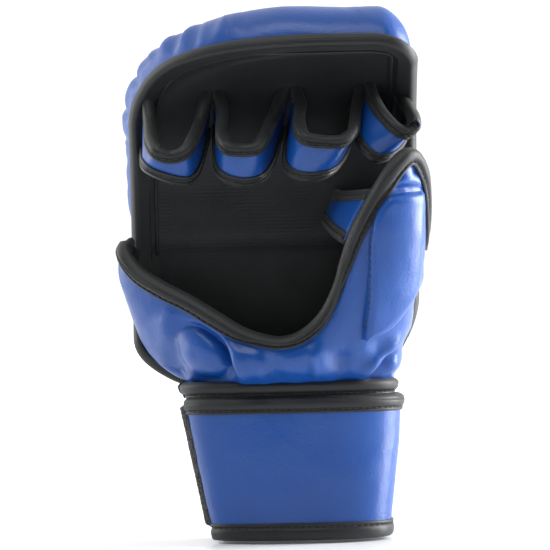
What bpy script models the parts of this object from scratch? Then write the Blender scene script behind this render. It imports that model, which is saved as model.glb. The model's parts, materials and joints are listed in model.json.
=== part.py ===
"""An open-palm sparring glove for mixed martial arts, right-way up on its wrist cuff.

The frame is in metres, with +Z from the cuff to the fingertips, -Y towards the palm and
+X towards the thumb. The shapes are laid out from the centre of the cuff's mouth, and
centre_frame then puts the origin in the middle of the whole footprint. Every piece is cut
from a curved sheet (cuff, strap, back, heel, finger loops, thumb strip): a layer is the
space between two heights above a sheet, and a binding is a tape folded over its edge.
"""

import math

import bmesh
import bpy
import numpy as np
from mathutils import Matrix, Vector

# Wrist cuff and strap
CUFF_HALF_WIDTH = 0.0358  # half of the cuff's inside width at its mouth
CUFF_HALF_DEPTH = 0.0200
CUFF_TAPER = 0.152  # growth of the half width per metre of height
CUFF_DEPTH_TAPER = 0.06
CUFF_CENTRE_X, CUFF_LEAN = 0.0018, -0.048
CUFF_SQUARENESS = 0.10  # how far the oval's corners fill out
CUFF_FLARE = 0.002  # the cuff opens out above the strap
STRAP_HEIGHT = 0.068
CUFF_TOP = 0.0735
FLARE_FROM = 0.066
CUFF_FOOT = 0.0004  # the strap's foot stays this far above the cuff's
SLIT_START, SLIT_END = 190.0, 200.0  # the cuff's slit, in degrees from +X
CUFF_STEPS = 43  # mesh lines round the cuff

# Back of the glove
BACK_Y = 0.0200  # the lining against the back of the hand
BACK_BOTTOM = 0.079
BEND_HEIGHT = 0.165  # where the pad starts to curl over the fingers
CURL_RADIUS = 0.070
CURL_DEGREES = 75.0
BACK_HALF_WIDTH, WRIST_HALF_WIDTH = 0.0675, 0.0460
BACK_CENTRE_X, WRIST_CENTRE_X = -0.0072, 0.0005
SHOULDER = 0.026  # height over which the pad widens from the wrist
SIDE_RADIUS, SIDE_BEND = 0.034, 36.0  # the pad's sides curve round the hand
CORNER_LITTLE, CORNER_INDEX = (0.084, 0.054), (0.014, 0.013)  # the lip's rounded corners, across and along
PAD_WRIST, PAD_MIDDLE, PAD_FULL = 0.0065, 0.0160, 0.0310  # thickness upwards from the wrist
PAD_THICKENS = 0.050  # height over which it grows from one thickness to the next
PAD_SECOND_RISE = 0.045  # where it starts to grow to its full thickness
PAD_MARGIN = 0.0056  # flat sewn edge
PAD_ROUNDING = 0.030  # how far inside the margin the pad reaches full thickness
CORNER_MARGIN = 0.0060  # how much wider the margin is at the lip's corners
SIDE_STEPS = (0.0, PAD_MARGIN, 0.012, 0.021, 0.031)  # distances of the mesh lines from the sides
LIP_STEPS = (0.024, 0.015, 0.010, PAD_MARGIN, 0.0025, 0.0010, 0.0003, 0.0)  # and from the lip
LIP_MARGIN_ROWS = 5  # how many of those rows the foam keeps clear of
SIDE_SHARE = 0.40  # the most of the pad's width that one side's lines may take up
PAD_COLUMNS = 15
FLAT_ROWS_FROM = 0.037  # height of the back's first mesh line above its shoulder
FLEX_HEIGHT = 0.150  # the crease between the back and the finger section
FLEX_GAP = 0.0046

# Layers
SKIN = 0.0011
LINING = 0.0008
GAP = 0.0003
TAPE = 0.0009  # binding tape thickness
TAPE_LEG = 0.0042  # how far a binding reaches over its panel
TAPE_NOSE = 0.0018  # how far it stands out past the edge
EDGE = LINING + GAP + SKIN  # lining and skin lying together
FASTENER = 0.0009  # hook tape and loop tape

# Finger loops, from little to index: where each end is sewn to the lining
LOOP_ENDS = ((-0.0608, -0.0385), (-0.0305, -0.0014), (0.0066, 0.0340), (0.0420, 0.0572))
INDEX_LEFT, INDEX_RIGHT = LOOP_ENDS[-1]
LOOP_SKEW = (-0.0010, -0.0010, 0.0010, 0.0020)  # each loop's front leans sideways
LOOP_DEPTH = (0.95, 1.0, 1.0, 0.72)  # each loop's share of the full reach
OUTER_CLEARANCE = 0.0065  # the index loop's outer end stands off the pad's binding
LOOP_RISE = 0.0006  # each loop sits this much higher than the one before
SEAM_PEAK, SEAM_FOOT = 0.2110, 0.1800
LOOP_REACH_TOP, LOOP_REACH_FOOT = 0.0255, 0.0390
LOOP_TOP_Z, LOOP_FOOT_Z = 0.1850, 0.1725
PEAK_CLEARANCE, FOOT_CLEARANCE = 0.0045, 0.0022  # between a loop's ends and the lining
LOOP_STEPS = 21

# Heel and thumb
THUMB_FROM, THUMB_BLEND = 0.44, 0.13  # where the split leaves the rim, and its width
THUMB_FOOT = 0.24  # how far up the sheet the thumb section starts
THUMB_GAP = 0.045  # the split, as a share of the sheet's height
THUMB_PAD = 0.0030  # thickness of the pad's foam
THUMB_PAD_FOOT, THUMB_PAD_HEAD = (0.645, 0.760), (0.700, 0.825)  # its left and right ends, low and high
THUMB_PAD_RISE = (0.34, 0.85)
THUMB_PIVOT, THUMB_AXIS = (0.038, -0.036, 0.097), (0.74, 0.67, 0.0)
PALM_SWELL, THUMB_SWELL, SIDE_SWELL = 0.0025, 0.0080, 0.0010
SWELL_FROM, SWELL_BLEND = 0.45, 0.35  # where the thumb's swell takes over, and its width
SWELL_SLANT = 0.3  # how far the swell leans sideways
FACING_DEPTH = 0.060  # a panel this far in front of the middle on average faces the palm
PALM_STEPS, BASE_STEPS, THUMB_STEPS = 14, 16, 21
THUMB_START = 0.49  # where the thumb section starts along the rim

# Strap across the thumb's crotch
STRIP_BACK_WIDTH, STRIP_FRONT_WIDTH = 0.0170, 0.0130
STRIP_SLANT = 0.001
STRIP_STEPS = 11

BLUE = (0.035, 0.115, 0.48, 1.0)
BLACK = (0.012, 0.013, 0.015, 1.0)
FOAM = (0.16, 0.16, 0.17, 1.0)


def unit(vector):
    return vector / np.linalg.norm(vector)


def smooth(value):
    """0 below 0, 1 above 1, and an S curve between."""
    value = min(max(value, 0.0), 1.0)
    return value * value * (3 - 2 * value)


def mix(a, b, share):
    return a + (b - a) * share


def spline(points):
    """A smooth curve through the points, as a function of 0 to 1."""
    points = np.array(points, float)
    last = len(points) - 1
    padded = np.vstack([2 * points[0] - points[1], points, 2 * points[-1] - points[-2]])

    def at(share):
        place = share * last
        k = int(min(max(math.floor(place), 0), last - 1))
        t = place - k
        a, b, c, d = padded[k : k + 4]
        square, cube = 2 * a - 5 * b + 4 * c - d, 3 * b - a - 3 * c + d
        return 0.5 * (2 * b + (c - a) * t + square * t**2 + cube * t**3)

    return at


class Sheet:
    """A curved sheet given by point(u, v), whose normal points out of the glove."""

    def __init__(self, point, step, level=False):
        self.point = point
        self.step = step
        self.level = level  # heights are measured horizontally

    def slopes(self, u, v):
        e = self.step
        across = (self.point(u + e, v) - self.point(u - e, v)) / (2 * e)
        along = (self.point(u, v + e) - self.point(u, v - e)) / (2 * e)
        return across, along

    def offset(self, u, v, height):
        normal = np.cross(*self.slopes(u, v))
        if self.level:
            normal[2] = 0.0
        return self.point(u, v) + unit(normal) * height

    def inward(self, u, v, heading):
        """The step in (u, v) per metre into the sheet, square to an edge that runs along heading."""
        across, along = self.slopes(u, v)
        tangent = across * heading[0] + along * heading[1]
        into = unit(np.cross(np.cross(across, along), tangent))
        return np.linalg.lstsq(np.column_stack([across, along]), into, rcond=None)[0]

    def stride(self, u, v, way):
        """The step in (u, v) per metre along one of the sheet's own lines."""
        across, along = self.slopes(u, v)
        return np.array(way) / np.linalg.norm(across * way[0] + along * way[1])


def material(name, colour, roughness):
    found = bpy.data.materials.get(name)
    if found:
        return found
    made = bpy.data.materials.new(name)
    made.use_nodes = True
    shader = made.node_tree.nodes["Principled BSDF"]
    shader.inputs["Base Color"].default_value = colour
    shader.inputs["Roughness"].default_value = roughness
    shader.inputs["Metallic"].default_value = 0.0
    return made


def leather():
    return material("blue_leather", BLUE, 0.38)


def tape():
    return material("black_tape", BLACK, 0.5)


def cloth():
    return material("black_lining", BLACK, 0.7)


def foam():
    return material("foam", FOAM, 0.9)


def fastener():
    return material("hook_and_loop", BLACK, 0.95)


def make(name, points, faces, look):
    """One closed piece from points and faces."""
    mesh = bpy.data.meshes.new(name)
    mesh.from_pydata([tuple(p) for p in points], [], faces)
    body = bmesh.new()
    body.from_mesh(mesh)
    bmesh.ops.recalc_face_normals(body, faces=body.faces)
    body.to_mesh(mesh)
    body.free()
    mesh.shade_smooth()
    mesh.set_sharp_from_angle(angle=math.radians(35))
    mesh.materials.append(look)
    piece = bpy.data.objects.new(name, mesh)
    bpy.context.collection.objects.link(piece)
    return piece


def layer(name, sheet, grid, low, high, look):
    """The closed layer over a grid of (u, v) places, between the heights low(u, v) and high(u, v)."""
    rows, columns = len(grid), len(grid[0])
    low = low if callable(low) else lambda u, v, h=low: h
    high = high if callable(high) else lambda u, v, h=high: h
    points = [sheet.offset(u, v, level(u, v)) for level in (high, low) for row in grid for u, v in row]
    under = rows * columns

    def at(i, j):
        return i * columns + j

    faces = []
    for i in range(rows - 1):
        for j in range(columns - 1):
            a, b, c, d = at(i, j), at(i + 1, j), at(i + 1, j + 1), at(i, j + 1)
            for triangle in ((a, b, c), (a, c, d)):
                faces.append(triangle)
                faces.append(tuple(k + under for k in reversed(triangle)))
    rim = [at(i, 0) for i in range(rows)]
    rim += [at(rows - 1, j) for j in range(1, columns)]
    rim += [at(i, columns - 1) for i in range(rows - 2, -1, -1)]
    rim += [at(0, j) for j in range(columns - 2, 0, -1)]
    for a, b in zip(rim, rim[1:] + rim[:1]):
        faces.append((b, a, a + under, b + under))
    return make(name, points, faces, look)


UP, DOWN = (0, 1), (0, -1)


def box_grid(u_range, v_range, columns, rows):
    """Evenly spaced places, u first."""
    return [[(u, v) for v in np.linspace(*v_range, rows)] for u in np.linspace(*u_range, columns)]


def binding(name, sheet, path, low, high, way=None, leg=TAPE_LEG, nose=TAPE_NOSE):
    """Tape folded over a panel's edge. The path runs round the panel, which lies on its left.

    The tape reaches over the panel in the given way, in (u, v), or else square to the path.
    """
    top, foot = high + GAP, low - GAP
    middle = (top + foot) / 2
    flat = (top - foot) / 2 + TAPE * 0.4
    section = [
        (leg, top + TAPE), (-nose * 0.3, top + TAPE), (-nose, middle + flat),
        (-nose, middle - flat), (-nose * 0.3, foot - TAPE), (leg, foot - TAPE),
        (leg, foot), (-GAP, foot), (-GAP, top), (leg, top),
    ]
    path = np.array(path, float)
    headings = np.gradient(path, axis=0)
    points = []
    for (u, v), heading in zip(path, headings):
        du, dv = sheet.stride(u, v, way) if way else sheet.inward(u, v, heading)
        points += [sheet.offset(u + du * d, v + dv * d, h) for d, h in section]
    n = len(section)
    faces = []
    for ring in range(len(path) - 1):
        for k in range(n):
            a, b = ring * n + k, ring * n + (k + 1) % n
            faces.append((a, b, b + n, a + n))
    faces.append(tuple(range(n)))
    faces.append(tuple(range((len(path) - 1) * n, len(path) * n))[::-1])
    return make(name, points, faces, tape())


# ---------------------------------------------------------------- sheets

def cuff_point(degrees, z):
    """The inside of the cuff, a tapering rounded oval."""
    angle = math.radians(degrees)
    flare = CUFF_FLARE * max(z - FLARE_FROM, 0.0) / (CUFF_TOP - FLARE_FROM)
    half_width = CUFF_HALF_WIDTH + CUFF_TAPER * z + flare
    half_depth = CUFF_HALF_DEPTH + CUFF_DEPTH_TAPER * z + flare
    c, s = math.cos(angle), math.sin(angle)
    fill = 1 + CUFF_SQUARENESS * (2 * c * s) ** 2
    return np.array([CUFF_CENTRE_X + CUFF_LEAN * z + half_width * c * fill, half_depth * s * fill, z])


cuff = Sheet(cuff_point, 1e-3, level=True)

ANCHOR_LOW = EDGE + GAP
LOOP_TAPE_LOW = ANCHOR_LOW + SKIN + GAP
STRAP_LOW = EDGE + 2 * GAP + TAPE
TAB_LOW = LOOP_TAPE_LOW + 2 * (FASTENER + GAP)
STRAP_FROM, STRAP_END = 188.0, 355.0  # degrees round the cuff
TAB_FROM, TAB_END = 365.0, 500.0
ANCHOR_FROM, ANCHOR_END = 106.0, 182.0
HOOK_FROM, HOOK_END = 455.0, 489.0
LOOP_TAPE_INSET = 3.0  # degrees from each end of the anchor
FASTENER_BAND, ANCHOR_BAND = (0.012, 0.056), (0.008, 0.060)  # the heights they cover


def strap_point(degrees, z):
    """The inside of the strap, which spirals outwards to lie on its own fastening."""
    share = (degrees - STRAP_FROM) / (HOOK_FROM - STRAP_FROM)
    return cuff.offset(degrees, z, mix(STRAP_LOW, TAB_LOW, min(max(share, 0.0), 1.0)))


strap = Sheet(strap_point, 1e-2, level=True)

STRAIGHT = BEND_HEIGHT - BACK_BOTTOM
BACK_LENGTH = STRAIGHT + CURL_RADIUS * math.radians(CURL_DEGREES)  # along the lining to the lip
FLEX = FLEX_HEIGHT - BACK_BOTTOM


def back_section(s):
    """Half the width along the lining, half its flat part, and the centre, at s up from the wrist."""
    share = math.sin(min(max(s / SHOULDER, 0.0), 1.0) * math.pi / 2)
    half_width = mix(WRIST_HALF_WIDTH, BACK_HALF_WIDTH, share)
    bend = math.radians(SIDE_BEND)
    flat = half_width - SIDE_RADIUS * math.sin(bend)
    return flat + SIDE_RADIUS * bend, flat, mix(WRIST_CENTRE_X, BACK_CENTRE_X, share)


def back_point(u, s):
    """The lining of the back: u runs from -1 on the thumb side to 1, s up from the wrist."""
    half_arc, flat, centre = back_section(s)
    arc = -u * half_arc
    turn = max(abs(arc) - flat, 0.0) / SIDE_RADIUS
    x = math.copysign(min(abs(arc), flat) + SIDE_RADIUS * math.sin(turn), arc)
    depth = SIDE_RADIUS * (1 - math.cos(turn))
    curl = max(s - STRAIGHT, 0.0) / CURL_RADIUS
    y = BACK_Y - CURL_RADIUS * (1 - math.cos(curl))
    z = BACK_BOTTOM + min(s, STRAIGHT) + CURL_RADIUS * math.sin(curl)
    return np.array([centre + x, y - depth * math.cos(curl), z - depth * math.sin(curl)])


back = Sheet(back_point, 5e-4)


def corner_size(u):
    return CORNER_LITTLE if u > 0 else CORNER_INDEX


def outline(side, s):
    """Where the pad's outline lies at s, on the side given by its sign."""
    across, along = corner_size(side)
    rise = min(max((s - BACK_LENGTH) / along + 1, 0.0), 1.0)
    return side * (1 - across * (1 - math.sqrt(1 - rise**2)) / back_section(s)[0])


def margin_distance(u, s):
    """How far inside the pad's sewn margin a place on the back sheet lies."""
    across, along = corner_size(u)
    side = (1 - abs(u)) * back_section(s)[0]
    top = BACK_LENGTH - s
    if side < across and top < along:
        out, up = 1 - side / across, 1 - top / along
        slant = math.sin(2 * math.atan2(up, out))
        return (1 - math.hypot(out, up)) * min(across, along) - PAD_MARGIN - CORNER_MARGIN * slant
    return min(side, top) - PAD_MARGIN


def pad_height(u, s):
    """The pad's outer height, which falls to a flat sewn margin at the outline."""
    middle = mix(PAD_WRIST, PAD_MIDDLE, smooth(s / PAD_THICKENS))
    middle = mix(middle, PAD_FULL, smooth((s - PAD_SECOND_RISE) / PAD_THICKENS))
    share = min(max(margin_distance(u, s), 0.0) / PAD_ROUNDING, 1.0)
    return EDGE + (middle - EDGE) * math.sqrt(1 - (1 - share) ** 2)


def heel_foot(u):
    return HEEL_FOOT(u) / 1000


def heel_rim(u):
    return HEEL_RIM(u) / 1000


# In millimetres, from the little finger's side round to the back of the thumb.
HEEL_FOOT = spline([
    (-70, 4, 103), (-65, -8, 92), (-50, -20, 81), (-36, -26, 78), (-18, -29, 78), (2, -30, 78),
    (18, -29, 78), (31, -25, 78), (41, -19, 78), (48, -12, 78), (52, -6, 78), (54, 0, 78),
])
HEEL_RIM = spline([
    (-75, 4, 141), (-70, -9, 127), (-50, -24, 114), (-25, -34, 99), (-5, -38, 93), (14, -39, 103),
    (24, -43, 124), (33, -49, 149), (45, -53, 171), (59, -46, 179), (66, -27, 165), (66, -6, 146),
])


def heel_point(u, v):
    """The heel and thumb panel: u from the little finger's side to the thumb's back, v upwards."""
    foot, rim = heel_foot(u), heel_rim(u)
    facing = min(max(-(foot[1] + rim[1]) / FACING_DEPTH, 0.0), 1.0)
    swell = mix(PALM_SWELL, THUMB_SWELL, smooth((u - SWELL_FROM) / SWELL_BLEND)) * facing + SIDE_SWELL
    out = unit(np.array([(foot[0] + rim[0]) * SWELL_SLANT, foot[1] + rim[1], 0.0]))
    return mix(foot, rim, v) + out * swell * math.sin(math.pi * v)


heel = Sheet(heel_point, 1e-3)


def split(u):
    """How far up the heel sheet the thumb section parts from the heel."""
    return mix(1.0, THUMB_FOOT, smooth((u - THUMB_FROM) / THUMB_BLEND))


def palm_rows(u, low, high, steps):
    """Heights up the heel sheet, with one under the inner edge of a binding along the rim."""
    reach = (TAPE_LEG + 2 * GAP) / np.linalg.norm(heel_rim(u) - heel_foot(u))
    return list(np.linspace(low, high - reach, steps)) + [high]


def back_place(x, s):
    """The u of the place at x on the back sheet."""
    half_arc, flat, centre = back_section(s)
    away = abs(x - centre)
    if away > flat:
        away = flat + SIDE_RADIUS * math.asin(min((away - flat) / SIDE_RADIUS, 0.99))
    return math.copysign(away, centre - x) / half_arc


def hoop(u, half, reach):
    """A U-shaped line: sideways and forward positions at a share u of its length."""
    side = reach - half
    length = 2 * side + math.pi * half
    along = u * length
    if along < side:
        return -half, along
    if along > length - side:
        return half, length - along
    angle = (along - side) / half
    return -half * math.cos(angle), side + half * math.sin(angle)


def loop_sheet(k):
    """The k-th finger loop: u from its little-finger seam to its index seam, v along the finger."""
    left, right = LOOP_ENDS[k]
    middle, half = (left + right) / 2, (right - left) / 2
    rise = LOOP_RISE * k

    def edge(u, seam_z, front_z, reach, clearance):
        across, forward = hoop(u, half, reach * LOOP_DEPTH[k])
        out = forward / (reach * LOOP_DEPTH[k])
        x = middle + across + LOOP_SKEW[k] * out
        s = STRAIGHT + CURL_RADIUS * math.asin((seam_z + rise - BEND_HEIGHT) / CURL_RADIUS)
        clearance += OUTER_CLEARANCE * smooth((x - INDEX_LEFT) / (INDEX_RIGHT - INDEX_LEFT))
        y = back_point(back_place(x, s), s)[1] - clearance - forward
        z = back_point(0.0, s)[2]
        return np.array([x, y, mix(z, front_z + rise, math.sin(math.pi / 2 * out))])

    def point(u, v):
        foot = edge(u, SEAM_FOOT, LOOP_FOOT_Z, LOOP_REACH_FOOT, FOOT_CLEARANCE)
        peak = edge(u, SEAM_PEAK, LOOP_TOP_Z, LOOP_REACH_TOP, PEAK_CLEARANCE)
        return mix(foot, peak, v)

    return Sheet(point, 1e-3)


STRIP_LINE = spline([(21, 13, 146), (21, -6, 145), (23, -25, 143), (29, -43, 141)])


def strip_point(u, v):
    """The strap across the thumb's crotch, from the lining forward to the thumb's rim."""
    width = mix(STRIP_BACK_WIDTH, STRIP_FRONT_WIDTH, u)
    return STRIP_LINE(u) / 1000 + np.array([STRIP_SLANT, 0.0, width]) * v


strip = Sheet(strip_point, 1e-3)

# ---------------------------------------------------------------- pieces

def make_cuff():
    span = (SLIT_END, 360 + SLIT_START)
    angles = np.linspace(*span, CUFF_STEPS)
    grid = [[(a, z) for z in (0.0, FLARE_FROM, CUFF_TOP)] for a in angles]
    layer("cuff_lining", cuff, grid, 0.0, LINING, cloth())
    layer("cuff_shell", cuff, grid, LINING + GAP, EDGE, leather())
    binding("cuff_top_binding", cuff, [(a, CUFF_TOP) for a in angles[::-1]], 0.0, EDGE, DOWN)


def make_strap():
    foot = CUFF_FOOT + TAPE_NOSE
    high = STRAP_HEIGHT - TAPE_NOSE
    anchor = box_grid((ANCHOR_FROM, ANCHOR_END), ANCHOR_BAND, 9, 2)
    layer("strap_anchor", cuff, anchor, ANCHOR_LOW, ANCHOR_LOW + SKIN, leather())
    loops = box_grid((ANCHOR_FROM + LOOP_TAPE_INSET, ANCHOR_END - LOOP_TAPE_INSET), FASTENER_BAND, 9, 2)
    layer("loop_tape", cuff, loops, LOOP_TAPE_LOW, LOOP_TAPE_LOW + FASTENER, fastener())
    hooks = box_grid((HOOK_FROM, HOOK_END), FASTENER_BAND, 7, 2)
    layer("hook_tape", strap, hooks, -GAP - FASTENER, -GAP, fastener())
    for name, start, end, steps in (("strap", STRAP_FROM, STRAP_END, 21), ("tab", TAB_FROM, TAB_END, 19)):
        grid = box_grid((start, end), (foot, high), steps, 2)
        layer(f"{name}_lining", strap, grid, 0.0, LINING, cloth())
        layer(f"{name}_shell", strap, grid, LINING + GAP, EDGE, leather())
        angles = np.linspace(start, end, steps)
        binding(f"{name}_foot_binding", strap, [(a, foot) for a in angles], 0.0, EDGE, UP)
        binding(f"{name}_top_binding", strap, [(a, high) for a in angles[::-1]], 0.0, EDGE, DOWN)
    reach = TAPE_LEG + 4 * GAP
    end = [(TAB_END, z) for z in np.linspace(foot + reach, high - reach, 3)]
    binding("tab_end_binding", strap, end, 0.0, EDGE)


def back_grid(rows, columns):
    """Places on the back sheet within its outline, closer together near the sides."""
    lines = []
    for s in rows:
        half_arc = back_section(s)[0]
        thumb, little = outline(-1, s), outline(1, s)
        squeeze = min(SIDE_SHARE * (little - thumb) * half_arc / SIDE_STEPS[-1], 1.0)
        near = [d / half_arc * squeeze for d in SIDE_STEPS]
        inside = np.linspace(thumb + near[-1], little - near[-1], columns - 2 * len(near) + 2)[1:-1]
        lines.append([thumb + d for d in near] + list(inside) + [little - d for d in near[::-1]])
    return [[(line[k], s) for line, s in zip(lines, rows)] for k in range(columns)]


def make_back(name, rows, side, top):
    """Lining, foam and shell of one section; the foam keeps clear of the flat margin."""
    grid = back_grid(rows, PAD_COLUMNS)
    layer(f"{name}_lining", back, grid, 0.0, LINING, cloth())
    layer(f"{name}_shell", back, grid, lambda u, s: pad_height(u, s) - SKIN, pad_height, leather())
    core = [line[1 : len(rows) - top] for line in grid[side : PAD_COLUMNS - side]]
    layer(f"{name}_foam", back, core, LINING + GAP, lambda u, s: pad_height(u, s) - SKIN - GAP, foam())
    return grid


def make_backs():
    rows = list(np.linspace(0.0, SHOULDER, 5)) + list(np.linspace(FLAT_ROWS_FROM, FLEX - FLEX_GAP / 2, 4))
    grid = make_back("back", rows, 2, 1)
    binding("back_little_side_binding", back, grid[-1], 0.0, EDGE, (-1, 0))
    binding("back_thumb_side_binding", back, grid[0][::-1], 0.0, EDGE, (1, 0))
    rows = list(np.linspace(FLEX + FLEX_GAP / 2, BACK_LENGTH - LIP_STEPS[0], 7))
    rows += [BACK_LENGTH - d for d in LIP_STEPS[1:]]
    grid = make_back("finger_pad", rows, 3, LIP_MARGIN_ROWS)
    lip = [line[-1] for line in grid[::-1]]
    binding("finger_pad_binding", back, grid[-1] + lip[1:-1] + grid[0][::-1], -GAP, EDGE + GAP)


def make_heel():
    palm = list(np.linspace(0, THUMB_FROM, PALM_STEPS))
    base = list(np.linspace(THUMB_FROM, 1, BASE_STEPS))[1:]
    grid = [[(u, v) for v in palm_rows(u, 0.0, split(u), 4)] for u in palm + base]
    layer("heel_lining", heel, grid, 0.0, LINING, cloth())
    layer("heel_shell", heel, grid, LINING + GAP, EDGE, leather())
    binding("palm_rim_binding", heel, [(u, 1.0) for u in palm[::-1]], 0.0, EDGE, DOWN)


def make_thumb():
    columns = np.linspace(THUMB_START, 1, THUMB_STEPS)
    grid = [[(u, v) for v in palm_rows(u, split(u) + THUMB_GAP, 1.0, 5)] for u in columns]
    layer("thumb_lining", heel, grid, 0.0, LINING, cloth())
    layer("thumb_shell", heel, grid, LINING + GAP, EDGE, leather())
    binding("thumb_rim_binding", heel, [(u, 1.0) for u in columns[::-1]], 0.0, EDGE, DOWN)
    patch = []
    for a in np.linspace(0, 1, 8):
        foot_u, head_u = mix(*THUMB_PAD_FOOT, a), mix(*THUMB_PAD_HEAD, a)
        patch.append([(mix(foot_u, head_u, t), mix(*THUMB_PAD_RISE, t)) for t in np.linspace(0, 1, 6)])
    low = EDGE + 4 * GAP
    layer("thumb_pad_foam", heel, patch, low, low + THUMB_PAD, foam())
    layer("thumb_pad", heel, patch, low + THUMB_PAD + GAP, low + THUMB_PAD + GAP + SKIN, leather())


def make_strip():
    grid = box_grid((0.0, 1.0), (0.0, 1.0), STRIP_STEPS, 2)
    layer("thumb_strip_lining", strip, grid, 0.0, LINING, cloth())
    layer("thumb_strip", strip, grid, LINING + GAP, EDGE, leather())
    line = np.linspace(0, 1, STRIP_STEPS)
    binding("thumb_strip_foot_binding", strip, [(u, 0.0) for u in line], 0.0, EDGE, UP)
    binding("thumb_strip_top_binding", strip, [(u, 1.0) for u in line[::-1]], 0.0, EDGE, DOWN)


def make_loops():
    for k, finger in enumerate(("little", "ring", "middle", "index")):
        sheet = loop_sheet(k)
        grid = box_grid((0.0, 1.0), (0.0, 1.0), LOOP_STEPS, 2)
        layer(f"{finger}_loop_lining", sheet, grid, 0.0, LINING, cloth())
        layer(f"{finger}_loop_shell", sheet, grid, LINING + GAP, EDGE, leather())
        line = np.linspace(0, 1, LOOP_STEPS)
        binding(f"{finger}_loop_foot_binding", sheet, [(u, 0.0) for u in line], 0.0, EDGE, UP)
        binding(f"{finger}_loop_top_binding", sheet, [(u, 1.0) for u in line[::-1]], 0.0, EDGE, DOWN)


def strap_axis(degrees):
    """A point and direction along the strap's outer face, at the given place round the cuff."""
    height = EDGE + 2 * GAP + TAPE
    foot = strap.offset(degrees, 0.0, height)
    return foot, unit(foot - strap.offset(degrees, STRAP_HEIGHT, height))


def body_of(name):
    """The moving body a piece belongs to, or nothing if it is fixed to the hand."""
    if name.startswith("finger_pad") or "_loop_" in name:
        return "fingers"
    if name.startswith("thumb_") and not name.startswith("thumb_strip"):
        return "thumb"
    if name.startswith("tab_") or name == "hook_tape":
        return "tab"
    if name.startswith("strap_") and name != "strap_anchor":
        return "strap"
    return None


def centre_frame():
    """Moves the pieces so that the origin is under the middle of the whole object."""
    pieces = list(bpy.data.objects)
    corners = np.array([v.co for piece in pieces for v in piece.data.vertices])
    low, high = corners.min(axis=0), corners.max(axis=0)
    shift = Vector((-(low[0] + high[0]) / 2, -(low[1] + high[1]) / 2, -low[2]))
    for piece in pieces:
        piece.data.transform(Matrix.Translation(shift))
    return shift


def hang_on_pivots(shift):
    """Parents each moving piece to an empty on its joint's axis, which is the empty's X."""
    pivots = {
        "fingers": ((0.0, BACK_Y, FLEX_HEIGHT), (1.0, 0.0, 0.0)),
        "thumb": (THUMB_PIVOT, THUMB_AXIS),
        "strap": strap_axis((ANCHOR_END + STRAP_FROM) / 2),
        "tab": strap_axis((STRAP_END + TAB_FROM) / 2),
    }
    empties = {}
    for body, (point, axis) in pivots.items():
        empty = bpy.data.objects.new(f"{body}_pivot", None)
        bpy.context.collection.objects.link(empty)
        empty.location = Vector(point) + shift
        empty.rotation_mode = "QUATERNION"
        empty.rotation_quaternion = Vector(axis).to_track_quat("X", "Z")
        empties[body] = empty
    bpy.context.view_layer.update()
    for piece in [o for o in bpy.data.objects if o.type == "MESH"]:
        empty = empties.get(body_of(piece.name))
        if empty:
            piece.data.transform(empty.matrix_world.inverted())
            piece.parent = empty


for old in list(bpy.data.objects):
    bpy.data.objects.remove(old, do_unlink=True)

make_cuff()
make_strap()
make_backs()
make_heel()
make_thumb()
make_strip()
make_loops()
hang_on_pivots(centre_frame())
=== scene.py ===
"""Looks of an open-palm sparring glove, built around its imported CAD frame.

Shapes are laid out in millimetres from the centre of the cuff's mouth: +X towards the
thumb, -Y towards the palm, +Z towards the fingertips. ORIGIN, found from the finger
section's hinge, puts that layout into the frame. Each panel is a curved sheet given by a
function of (u, v) on whole arrays, and its layers, bindings and stitches are built on it.
"""

import json
import math

import bmesh
import bpy
import numpy as np
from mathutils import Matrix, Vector


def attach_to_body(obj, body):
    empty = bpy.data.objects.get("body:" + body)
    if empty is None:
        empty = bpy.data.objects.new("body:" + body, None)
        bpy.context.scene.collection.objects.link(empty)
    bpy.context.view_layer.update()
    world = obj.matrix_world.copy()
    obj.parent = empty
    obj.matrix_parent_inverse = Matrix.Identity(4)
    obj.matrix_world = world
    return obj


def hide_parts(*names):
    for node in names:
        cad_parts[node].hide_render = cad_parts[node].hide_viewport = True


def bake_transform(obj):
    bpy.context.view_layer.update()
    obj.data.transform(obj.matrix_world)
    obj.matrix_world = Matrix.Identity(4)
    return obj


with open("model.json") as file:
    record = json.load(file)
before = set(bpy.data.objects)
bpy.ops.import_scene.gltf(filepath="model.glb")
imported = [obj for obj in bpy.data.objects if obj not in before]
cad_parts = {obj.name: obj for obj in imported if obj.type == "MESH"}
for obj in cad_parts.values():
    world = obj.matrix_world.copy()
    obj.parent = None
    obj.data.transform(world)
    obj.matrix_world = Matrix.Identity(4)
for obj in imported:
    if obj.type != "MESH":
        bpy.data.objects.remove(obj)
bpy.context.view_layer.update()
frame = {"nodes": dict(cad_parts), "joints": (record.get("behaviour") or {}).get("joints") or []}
JOINTS = {j["name"]: j for j in frame["joints"]}

MM = 0.001
BACK_Y = 20.0  # the lining against the back of the hand
FLEX_Z = 150.0  # the crease between the back and the finger section
ORIGIN = np.array(JOINTS["finger_flex"]["pos_m"]) - np.array([0.0, BACK_Y, FLEX_Z]) * MM

# Thicknesses and heights of the layers above each sheet
SKIN_TOP, SKIN_FOOT = 2.2, 1.1
LINING_TOP = 1.0
SMALL = 1e-3  # the step used for slopes
TAPE_POINTS = 34  # mesh lines round a binding's section

# The pseudo-random values behind the uneven folds
HASH_CELL, HASH_SEED, HASH_GAIN, HASH_ROW = 12.9898, 78.233, 43758.5453, 57.0

# ---------------- small maths


def mix(a, b, share):
    return a + (b - a) * share


def smooth(value):
    value = np.clip(value, 0.0, 1.0)
    return value * value * (3 - 2 * value)


def unit(vectors):
    return vectors / np.maximum(np.linalg.norm(vectors, axis=-1, keepdims=True), 1e-9)


def bump(x, centre, width):
    """A soft hill of height 1."""
    return np.exp(-(((x - centre) / width) ** 2))


def scatter(cell, seed):
    """A repeatable value from 0 to 1 for each whole number."""
    value = np.sin(cell * HASH_CELL + seed * HASH_SEED) * HASH_GAIN
    return value - np.floor(value)


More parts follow.
